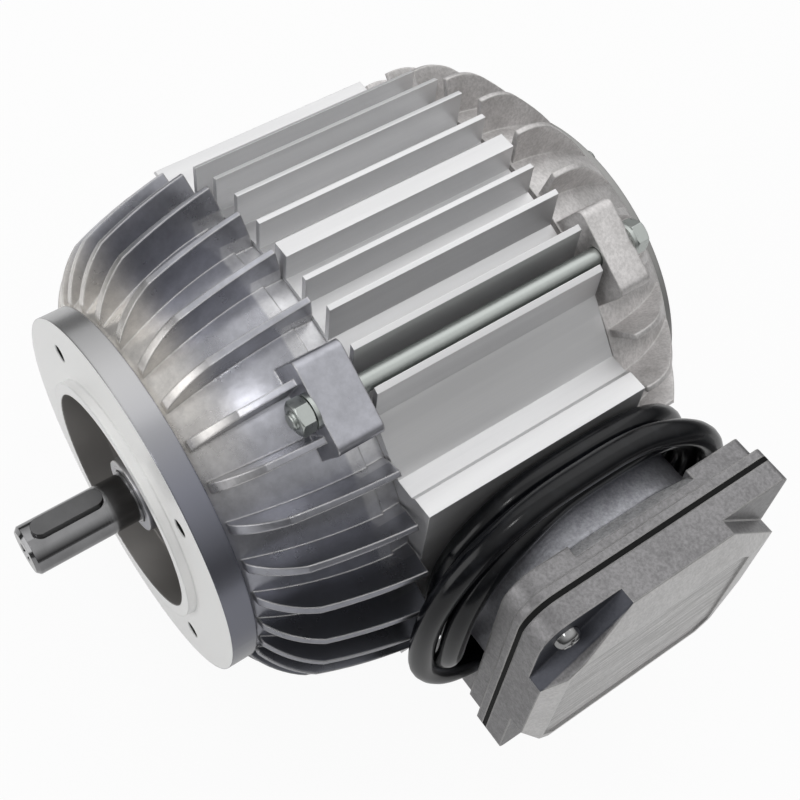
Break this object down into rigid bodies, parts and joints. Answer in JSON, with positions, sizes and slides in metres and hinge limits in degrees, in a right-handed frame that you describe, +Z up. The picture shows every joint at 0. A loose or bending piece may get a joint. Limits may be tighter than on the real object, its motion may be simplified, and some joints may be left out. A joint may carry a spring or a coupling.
{
  "type": "door motor with brake",
  "caption": "Finned face-mounted door motor with a keyed shaft, a spring-applied brake inside its rear shield and a side terminal box with its cable wound round it.",
  "frame": {"origin": "centre of the flange's mounting face, on the shaft's axis", "axes": "+Y along the shaft from the flange to the brake, +X towards the terminal box, +Z up"},
  "size_m": [0.1859, 0.1825, 0.1472],
  "materials": {
    "drive_shield_casting": "polished die casting",
    "housing_extrusion": "satin extrusion",
    "brake_shield_casting": "matte die casting",
    "box_casting": "mottled die casting",
    "zinc": "zinc plated",
    "cover_sheet": "satin pressed sheet",
    "shaft_steel": "ground",
    "key_steel": "drawn",
    "core_steel": "laminated",
    "copper": "varnished winding",
    "cast_cage": "as cast",
    "bearing_steel": "ground and polished",
    "cage_steel": "pressed sheet",
    "spring_steel": "oiled",
    "brake_steel": "turned",
    "friction": "pressed friction lining",
    "gasket": "matt",
    "board": "moulded",
    "brass": "turned",
    "gland": "moulded",
    "cable": "glossy sheath",
    "cores": "insulated cores"
  },
  "bodies": {
    "stator": {"drive_end_shield": "drive_shield_casting", "stator_housing": "housing_extrusion", "brake_end_shield": "brake_shield_casting", "tie_rods": "zinc", "tie_rod_washers": "zinc", "tie_rod_nuts": "zinc", "stator_core": "core_steel", "stator_winding": "copper", "front_bearing_outer_ring": "bearing_steel", "rear_bearing_outer_ring": "bearing_steel", "bearing_wave_spring": "spring_steel", "brake_magnet": "brake_steel", "brake_coil": "copper", "brake_springs": "spring_steel", "brake_sleeves": "zinc", "brake_screws": "zinc", "rear_cover": "cover_sheet", "rear_cover_screws": "zinc", "terminal_box": "box_casting", "terminal_base_gasket": "gasket", "terminal_lid_gasket": "gasket", "terminal_lid": "box_casting", "lid_screws": "zinc", "box_screws": "zinc", "terminal_board": "board", "terminal_studs": "brass", "terminal_nuts": "brass", "brake_rectifier": "board", "earth_screw": "brass", "cable_gland": "gland", "cable_gland_nut": "gland", "cable_coil": "cable", "cable_cores": "cores", "cable_lead": "cable"},
    "rotor": {"rotor_shaft": "shaft_steel", "shaft_key": "key_steel", "rotor_core": "core_steel", "rotor_cage": "cast_cage", "front_bearing_inner_ring": "bearing_steel", "rear_bearing_inner_ring": "bearing_steel", "rear_bearing_circlip": "spring_steel", "brake_hub": "brake_steel", "brake_hub_circlip": "spring_steel"},
    "front_ball_set": {"front_bearing_balls": "bearing_steel", "front_bearing_cage": "cage_steel"},
    "rear_ball_set": {"rear_bearing_balls": "bearing_steel", "rear_bearing_cage": "cage_steel"},
    "armature": {"brake_armature": "brake_steel"},
    "friction_disc": {"brake_disc": "brake_steel", "brake_linings": "friction"}
  },
  "joints": [
    {"name": "rotor_spin", "type": "hinge", "parent": "stator", "child": "rotor", "pos_m": [0, 0, 0], "axis": [0, 1, 0], "continuous": true},
    {"name": "front_balls_spin", "type": "hinge", "parent": "stator", "child": "front_ball_set", "pos_m": [0, 0.0195, 0], "axis": [0, 1, 0], "continuous": true},
    {"name": "rear_balls_spin", "type": "hinge", "parent": "stator", "child": "rear_ball_set", "pos_m": [0, 0.1185, 0], "axis": [0, 1, 0], "continuous": true},
    {"name": "brake_release", "type": "slide", "parent": "stator", "child": "armature", "axis": [0, 1, 0], "range_m": [0, 0.0003], "stiffness_N_per_m": 40000, "springref_m": -0.0005},
    {"name": "disc_float", "type": "slide", "parent": "rotor", "child": "friction_disc", "axis": [0, 1, 0], "range_m": [0, 0.00015]}
  ],
  "couplings": [
    {"joint": "front_balls_spin", "follows": "rotor_spin", "ratio": 0.388},
    {"joint": "rear_balls_spin", "follows": "rotor_spin", "ratio": 0.388},
    {"joint": "disc_float", "follows": "brake_release", "ratio": 0.5}
  ]
}
